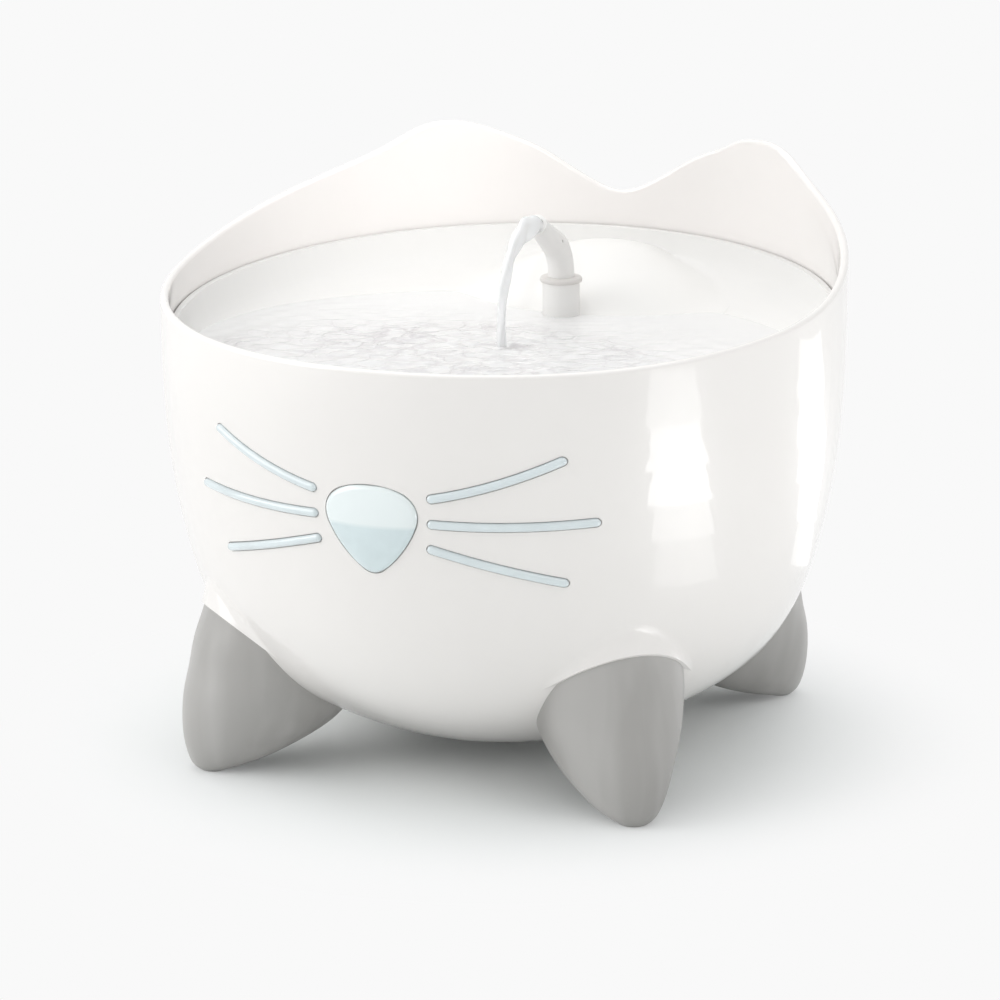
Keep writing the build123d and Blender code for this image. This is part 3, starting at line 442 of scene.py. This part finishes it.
def water(name, clearness, rippled=False):
    """Water with small ripples: the part of the light that it doesn't let through it scatters, as lit
    bubbly water does; when rippled, its colour has painted ripple shade in lines and patches."""
    roughness, unevenness = 0.02, 0.02
    # still water's colour, and the painted shade of the ripples
    still_colour, ripple_shade_colour = (0.95, 0.945, 0.945), (0.74, 0.715, 0.73)
    material, nodes, links, shader = new_material(name)
    small = noise(nodes, links, scale=260, detail=3, stretch=(1, 1.6, 1))
    layers = [(small, 0.04, 0.2)]
    shader.inputs["Base Color"].default_value = (0.985, 0.99, 0.995, 1)
    if rippled:
        # painted shade of the ripples: grey-lilac lines and patches in the colour
        lines = ripple_shade_mask(nodes, links)
        links.new(blended(nodes, links, lines, still_colour, ripple_shade_colour),
                  shader.inputs["Base Color"])
        layers.append((lines, 0.5, 0.5))
    shader.inputs["Transmission Weight"].default_value = clearness
    shader.inputs["IOR"].default_value = 1.333
    links.new(mapped(nodes, links, small, roughness, roughness + unevenness),
              shader.inputs["Roughness"])
    bumped(nodes, links, shader, layers)
    return material


# the record's slots, and the nose with its painted highlight and the stream, which differ from their
# slots
materials = {
    "bowl_white": plastic("bowl white gloss", (0.86, 0.829, 0.808), 0.3, coat=0.9),
    "tray_white": plastic("tray white satin", (0.81, 0.80, 0.785), 0.5, specular=0.35),
    # the feet carry painted reflection streaks
    "foot_grey": plastic("soft-touch grey", (0.475, 0.463, 0.45), 0.36, grain=0.02, tint=0.045,
                         painted_reflection_streak=1.2),
    "ice_blue": tinted_clear("ice-blue clear", (0.80, 0.875, 0.90)),
    # the nose's upper part carries a painted highlight
    "nose": tinted_clear("ice-blue lens", (0.76, 0.87, 0.895), painted_highlight_heights=(0.1072, 0.1088)),
    "inner_white": plastic("matt white", (0.74, 0.74, 0.73), 0.42, grain=0.01),
    "pump_grey": plastic("pump grey", (0.035, 0.037, 0.04), 0.45, grain=0.02, tint=0.008),
    "dark_plastic": plastic("dark plastic", (0.02, 0.02, 0.021), 0.4, grain=0.01, tint=0.005),
    "soft_grey": plastic("soft grey rubber", (0.68, 0.655, 0.635), 0.55, grain=0.01, tint=0.03),
    "silicone": plastic("silicone", (0.66, 0.68, 0.68), 0.35, tint=0.02),
    "black_rubber": plastic("black rubber", (0.012, 0.012, 0.012), 0.6, tint=0.004),
    "steel": metal("steel", (0.62, 0.62, 0.63), 0.25),
    "brass": metal("brass", (0.75, 0.58, 0.28), 0.25),
    "board_green": plastic("board green", (0.02, 0.12, 0.05), 0.35, tint=0.01),
    "led_clear": plastic("led clear", (0.85, 0.8, 0.55), 0.15, coat=0.5),
    "magnet": plastic("magnet", (0.02, 0.018, 0.018), 0.35, tint=0.006),
    "ceramic": plastic("ceramic", (0.8, 0.79, 0.75), 0.15, tint=0.01),
    "foam": foam("filter foam"),
    "lead_white": plastic("lead white", (0.68, 0.68, 0.67), 0.35, tint=0.02),
    # the pool's colour carries the painted ripple shade
    "water": water("water", clearness=0.22, rippled=True),
    "stream": water("falling water", clearness=0.25),
}


def dress_cad():
    """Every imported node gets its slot's material."""
    slots = {part["node"]: part["material_slot"] for part in frame["record"]["subparts"]}
    for name, obj in frame["nodes"].items():
        obj.data.materials.clear()
        obj.data.materials.append(materials[slots[name]])


# ------------------------------------------- the tray's upper side
bell = smooth_through(mound_bell, 60, start=(1, 0), end=(0.55, -1))
dish = smooth_through(dish_curve, 120, start=(-0.15, -1), end=(-1, 0))


def mound_top(reach):
    """Height of the mound at a reach from its centre; past its foot it goes on falling."""
    past = np.maximum(reach - bell[-1, 0], 0)
    return np.interp(reach, bell[:, 0], bell[:, 1]) - past


def dish_top(x, y):
    """Height of the dish over a place, without the mound."""
    along = y / cos(tray_tilt)
    for _ in range(3):
        depth = np.interp(np.hypot(x, along), dish[::-1, 0], dish[::-1, 1])
        along = (y + depth * sin(tray_tilt)) / cos(tray_tilt)
    height = tray_height + along * sin(tray_tilt) + depth * cos(tray_tilt)
    return np.where(np.hypot(x, along) > dish[0, 0], outside_dish, height)


def tray_top(x, y):
    """Height of the tray's upper side over a place."""
    return soft_max(dish_top(x, y), mound_top(np.hypot(x, y - mound_centre)), mound_blend_width)


def make_mound_blend():
    """Soft foot round the mound: a band that runs out on to the mound and the dish."""
    turns = np.radians(np.linspace(-foot_turn, foot_turn, foot_spokes))
    ways = np.arange(*foot_search)
    gaps = [mound_top(ways) - dish_top(ways * sin(turn), mound_centre - ways * cos(turn))
            for turn in turns]
    crease = np.array([ways[np.argmax(gap < 0)] for gap in gaps])
    crease_radius = np.hypot(crease * np.sin(turns), mound_centre - crease * np.cos(turns))
    limit = turns[crease_radius < dish_radius - foot_wall_gap].max()
    rows = []
    for turn, gap in zip(turns, gaps):
        if abs(turn) > limit:
            continue
        taper = sqrt(max(cos(turn / limit * pi / 2), 0.0))
        width = foot_width * taper + foot_least_width
        inner = ways[np.argmax(gap < width)]
        outer = ways[np.argmax(gap < -width)]
        reach = np.linspace(inner, outer, foot_points)
        x, y = reach * sin(turn), mound_centre - reach * cos(turn)
        high, low = mound_top(reach), dish_top(x, y)
        top = np.stack([x, y, soft_max(high, low, width) + foot_cover], axis=-1)
        under = np.stack([x, y, np.maximum(high, low) - foot_depth], axis=-1)[::-1]
        rows.append(np.concatenate([top, under]))
    Shell().grid(rows).build(
        "mound_blend", "tray", "tray_white", materials["tray_white"], sharp=60)


# ------------------------------------------- nose and whiskers
wall = smooth_through(wall_curve, 200)[::-1]


def on_wall(x, z, proud):
    """Points of the front wall over (x, z), stood off along the wall's own direction."""
    x, z, proud = np.broadcast_arrays(x, z, proud)
    radius = np.interp(z, wall[:, 0], wall[:, 1])
    above, below = (np.interp(z + step, wall[:, 0], wall[:, 1]) for step in (1, -1))
    lean = (above - below) / 2
    level = 1 / np.sqrt(1 + lean * lean)
    y = -np.sqrt(radius * radius - x * x)
    spread = 1 + proud * level / radius
    return np.stack([x * spread, y * spread, z - proud * level * lean], axis=-1)


def make_nose():
    """Lens of the night light: a rounded edge round a low dome, in its recess."""
    right = smooth_through(nose_half, nose_half_points, start=(1, 0), end=(-1, 0))
    outline = np.concatenate([right, right[-2:0:-1] * (-1, 1)])
    reach = np.hypot(*outline.T)
    ways = outline / reach[:, None]
    reach = reach - inlay_gap

    def ring(share, proud):
        return on_wall(share * reach * ways[:, 0], nose_height + share * reach * ways[:, 1], proud)

    rows = []
    for share in nose_rings:
        edge = np.clip((1 - share) * reach / nose_bevel, 0, 1)
        bevel = nose_bevel_rise * (1 - (1 - edge) ** 2)
        rows.append(ring(share, nose_edge + bevel + nose_crown * (1 - share * share)))
    rows += [ring(1, inlay_foot), ring(nose_tip, inlay_foot)]
    Shell().grid(rows).build(
        "nose_dome", "bowl", "ice_blue", materials["nose"], replaces=("nose_lens",), sharp=50)


def circle_through(start, mid, end):
    """Centre of the circle through three places."""
    a, b = mid - start, end - start
    cross = 2 * (a[0] * b[1] - a[1] * b[0])
    return start + np.array([b[1] * (a @ a) - a[1] * (b @ b),
                             a[0] * (b @ b) - b[0] * (a @ a)]) / cross


def make_whisker(row, side, name):
    """A bar of round section with round ends, in its recess."""
    start, mid, end = (np.array(p, float) for p in whisker_lines[row])
    hub = circle_through(start, mid, end)
    radius = np.linalg.norm(start - hub)
    turns = [np.arctan2(*(p - hub)[::-1]) for p in (start, end)]
    if abs(turns[1] - turns[0]) > pi:
        turns[int(np.argmin(turns))] += 2 * pi
    half = whisker_half_width - whisker_gap
    reach = half / radius
    way = np.sign(turns[1] - turns[0])
    cap = np.linspace(0, pi / 2, whisker_cap_steps + 1)[:-1]
    along = np.concatenate([turns[0] - way * reach * np.cos(cap),
                            np.linspace(turns[0], turns[1], whisker_bar_steps),
                            turns[1] + way * reach * np.cos(cap[::-1])])
    width = np.concatenate([half * np.sin(cap), np.full(whisker_bar_steps, half),
                            half * np.sin(cap[::-1])])
    across = np.linspace(-1, 1, whisker_section_points)
    rows = []
    for turn, w in zip(along, np.maximum(width, whisker_least_width)):
        out = np.array([cos(turn), sin(turn)])
        place = hub + out * (radius + w * across[:, None])
        proud = whisker_edge + whisker_crown * (w / half) * np.sqrt(np.maximum(1 - across**2, 0))
        top = on_wall(side * place[:, 0], nose_height + place[:, 1], proud)
        ends = place[[-1, 0]]
        low = on_wall(side * ends[:, 0], nose_height + ends[:, 1], whisker_foot)
        rows.append(np.concatenate([top, low]))
    node = f"whisker_{name}_{row}"
    Shell().grid(rows).build(
        node.replace("whisker", "whisker_bar"), "bowl", "ice_blue", materials["ice_blue"],
        replaces=(node,), sharp=50)


# ------------------------------------------- water
def wave(x, y, rate_x, rate_y, swing=0, bend_x=0, bend_y=0, start=0):
    """A wave train whose crests are bent by a slower one."""
    return np.sin(rate_x * x + rate_y * y + swing * np.sin(bend_x * x + bend_y * y) + start)


def ripple(x, y):
    """Height of the ripples: rings round the fall and a choppy patch in front of it."""
    away = np.hypot(x, y - stream_line[-1][0])
    rings = ring_height * np.exp(-away / ring_fade) * np.cos(away * ring_rate)
    oval = [((place - m) / half) ** 4
            for place, m, half in zip((x, y), ripple_middle, ripple_reach)]
    chop = 0
    for height, *waves in chop_trains:
        for rates in waves:
            height = height * wave(x, y, *rates)
        chop = chop + height
    return rings + chop_height * np.exp(-sum(oval)) * chop


def make_water():
    """The pool's surface, out to where it meets the tray."""
    turns = np.linspace(0, 2 * pi, water_spokes, endpoint=False)
    ways = np.arange(*water_search)
    edge = []
    for turn in turns:
        x = water_middle[0] + ways * sin(turn)
        y = water_middle[1] - ways * cos(turn)
        wet = tray_top(x, y) < water_height
        edge.append(ways[np.argmin(wet)] if not wet.all() else ways[-1])
    edge = np.array(edge) + water_overlap
    rows = []
    for share in np.linspace(water_first_ring, 1, water_rings):
        x = water_middle[0] + share * edge * np.sin(turns)
        y = water_middle[1] - share * edge * np.cos(turns)
        lively = np.clip((1 - share) / still_share, 0, 1)
        rows.append(np.stack([x, y, water_height + ripple(x, y) * lively], axis=-1))
    Shell().grid(rows, last_cap=False).build("water_surface", "tray", "water", materials["water"])


def make_stream():
    """The stream from the spout's mouth, which turns with it: a flattened, twisting jet that
    narrows as it falls."""
    line = smooth_through(stream_line, stream_rings, start=stream_start, end=stream_end)
    ahead = np.gradient(line, axis=0)
    ahead /= np.linalg.norm(ahead, axis=1)[:, None]
    shares = np.linspace(0, 1, len(line))
    given, *halves = zip(*stream_sections)
    wide, thick = (np.interp(shares, given, half) for half in halves)
    around = np.linspace(0, 2 * pi, stream_section_points, endpoint=False)
    rows = []
    for i, ((y, z), share) in enumerate(zip(line, shares)):
        twist = stream_sway * sin(stream_sway_rate * share) + stream_turn * share
        knots = sum(height * np.sin(lobes * around + rate * share)
                    for height, lobes, rate in stream_knots)
        knot = 1 + min(share / stream_bare_share, 1) * knots
        across = wide[i] * knot * np.cos(around)
        out = thick[i] * knot * np.sin(around)
        side = across * cos(twist) - out * sin(twist)
        lift = across * sin(twist) + out * cos(twist)
        rows.append(np.stack([side, y - lift * ahead[i, 1], z + lift * ahead[i, 0]], axis=-1))
    Shell().grid(rows).build("water_stream", "spout", "water", materials["stream"], sharp=80)


# ------------------------------------------- stage, light and camera, in metres
background_level = 0.947        # strength at which the plain background is seen
world_levels = (0.57, 0.745)    # strength of the world's light, away from its bright side and there
world_span = (-0.6, 0.9)        # of the cosine over which it goes from one to the other
world_colour = (0.985, 1, 1, 1)
bright_side = (-0.55, -0.6, 0.58)
floor_tones = ((0.84, 0.86, 0.858), (0.86, 0.88, 0.878))
floor_fade = (0.08, 0.185)      # distances over which the floor turns into the background
floor_half = 9.0
middle = (0, 0, 0.1)            # what the lamps point at

# glossy strips on the floor, which the bowl's right side mirrors as upright bands: near and far
# end from the bowl's axis, width, power
glow_steps = [(0.55, 0.73, 0.195, 0.21), (0.42, 0.55, 0.16, 0.23), (0.33, 0.42, 0.13, 0.14),
              (0.26, 0.33, 0.10, 0.042), (0.20, 0.26, 0.08, 0.014)]
glow_bands = (("glow_right", 74, 1.0), ("glow_back", 136, 0.6))     # azimuth, share of the power
glow_height = 0.012
glow_aim = 0.5                  # height of the place each strip points at
glow_lean = 0.001               # of that place, inwards, which sets the strip's long side

camera_lens, camera_sensor = 144.58, 36
camera_place = (0.5209, -1.3061, 0.4600)
camera_tilt, camera_turn = 75.14, 21.80


def seen_directly(nodes, links):
    """1 for a ray from the camera, or one mirrored or passed on by the object; 0 for its light."""
    path = nodes.new("ShaderNodeLightPath").outputs
    total = path["Is Camera Ray"]
    for name in ("Is Glossy Ray", "Is Transmission Ray"):
        total = computed(nodes, links, "MAXIMUM", total, path[name])
    return total


def make_stage():
    """Pale floor that takes the shadow near the object and turns into the plain background
    further out."""
    material, nodes, links, shader = new_material("studio floor")
    grain = noise(nodes, links, scale=30, detail=3)
    links.new(blended(nodes, links, grain, *floor_tones), shader.inputs["Base Color"])
    shader.inputs["Roughness"].default_value = 0.8
    shader.inputs["Specular IOR Level"].default_value = 0.2
    away = distance_from_axis(nodes, links, own_place(nodes))
    share = mapped(nodes, links, away, 0, 1, span=floor_fade, way="SMOOTHSTEP")
    far = computed(nodes, links, "MULTIPLY", share, seen_directly(nodes, links))
    plain = nodes.new("ShaderNodeEmission")
    plain.inputs["Strength"].default_value = background_level
    mix = nodes.new("ShaderNodeMixShader")
    links.new(far, mix.inputs[0])
    links.new(shader.outputs[0], mix.inputs[1])
    links.new(plain.outputs[0], mix.inputs[2])
    links.new(mix.outputs[0], nodes["Material Output"].inputs["Surface"])
    corners = [(x * floor_half, y * floor_half, 0) for x, y in ((-1, -1), (1, -1), (1, 1), (-1, 1))]
    mesh = bpy.data.meshes.new("studio_floor")
    mesh.from_pydata(corners, [], [(0, 1, 2, 3)])
    floor = bpy.data.objects.new("studio_floor", mesh)
    bpy.context.scene.collection.objects.link(floor)
    mesh.materials.append(material)


def hang(name, data, place, target):
    """Puts a lamp at a place and points it at another."""
    obj = bpy.data.objects.new(name, data)
    obj.location = place
    obj.rotation_euler = (Vector(target) - Vector(place)).to_track_quat("-Z", "Y").to_euler()
    bpy.context.scene.collection.objects.link(obj)
    return obj


def lamp(name, place, target, size, power):
    """Rectangular lamp that the camera doesn't see."""
    data = bpy.data.lights.new(name, "AREA")
    data.shape = "RECTANGLE"
    data.size, data.size_y = size
    data.energy = power
    hang(name, data, place, target).visible_camera = False


def beam(name, place, target, spread, power):
    """Soft-edged spot that passes over the front rim and reaches the tray and the ears' inside."""
    data = bpy.data.lights.new(name, "SPOT")
    data.energy = power
    data.spot_size = radians(spread)
    data.spot_blend = 0.8
    data.shadow_soft_size = 0.05
    hang(name, data, place, target)


def round_place(azimuth, distance, height):
    """Place at a turn from the front (-Y) towards +X."""
    return (distance * sin(radians(azimuth)), -distance * cos(radians(azimuth)), height)


def make_world():
    """Even surroundings, a little brighter from the upper front left, and plain when seen."""
    world = bpy.data.worlds.new("studio")
    world.use_nodes = True
    bpy.context.scene.world = world
    nodes, links = world.node_tree.nodes, world.node_tree.links
    where = nodes.new("ShaderNodeTexCoord").outputs["Generated"]
    towards = computed(nodes, links, "DOT_PRODUCT", where, bright_side,
                       kind="ShaderNodeVectorMath", output="Value")
    strength = nodes.new("ShaderNodeMapRange")
    links.new(mapped(nodes, links, towards, *world_levels, span=world_span),
              strength.inputs["To Min"])
    strength.inputs["To Max"].default_value = background_level
    links.new(seen_directly(nodes, links), strength.inputs["Value"])
    back = nodes["Background"]
    links.new(strength.outputs["Result"], back.inputs["Strength"])
    back.inputs["Color"].default_value = world_colour


def make_lamps():
    lamp("key_left", round_place(-56, 1.9, 1.0), middle, (1.5, 1.7), 17)
    lamp("top", (-0.2, 0.25, 1.9), middle, (1.6, 1.2), 10.5)
    lamp("right", round_place(75, 1.3, 1.7), middle, (1.0, 1.0), 4)
    for name, azimuth, share in glow_bands:
        for step, (near, far, width, power) in enumerate(glow_steps):
            reach = (near + far) / 2
            lamp(f"{name}_{step}", round_place(azimuth, reach, glow_height),
                 round_place(azimuth, reach - glow_lean, glow_aim), (width, far - near),
                 power * share)
    beam("ears", (0.45, -1.8, 0.78), (-0.105, 0.085, 0.215), spread=6.4, power=76)


def make_camera():
    data = bpy.data.cameras.new("camera")
    data.lens = camera_lens
    data.sensor_width = camera_sensor
    camera = bpy.data.objects.new("camera", data)
    camera.location = camera_place
    camera.rotation_euler = (radians(camera_tilt), 0, radians(camera_turn))
    bpy.context.scene.collection.objects.link(camera)
    bpy.context.scene.camera = camera


def clear_defaults():
    for name in ("Cube", "Light", "Camera"):
        if name in bpy.data.objects:
            bpy.data.objects.remove(bpy.data.objects[name])


clear_defaults()
dress_cad()
make_nose()
for side, name in ((-1, "left"), (1, "right")):
    for row in whisker_lines:
        make_whisker(row, side, name)
make_mound_blend()
make_water()
make_stream()
make_stage()
make_world()
make_lamps()
make_camera()
bpy.context.scene.view_settings.view_transform = "Standard"
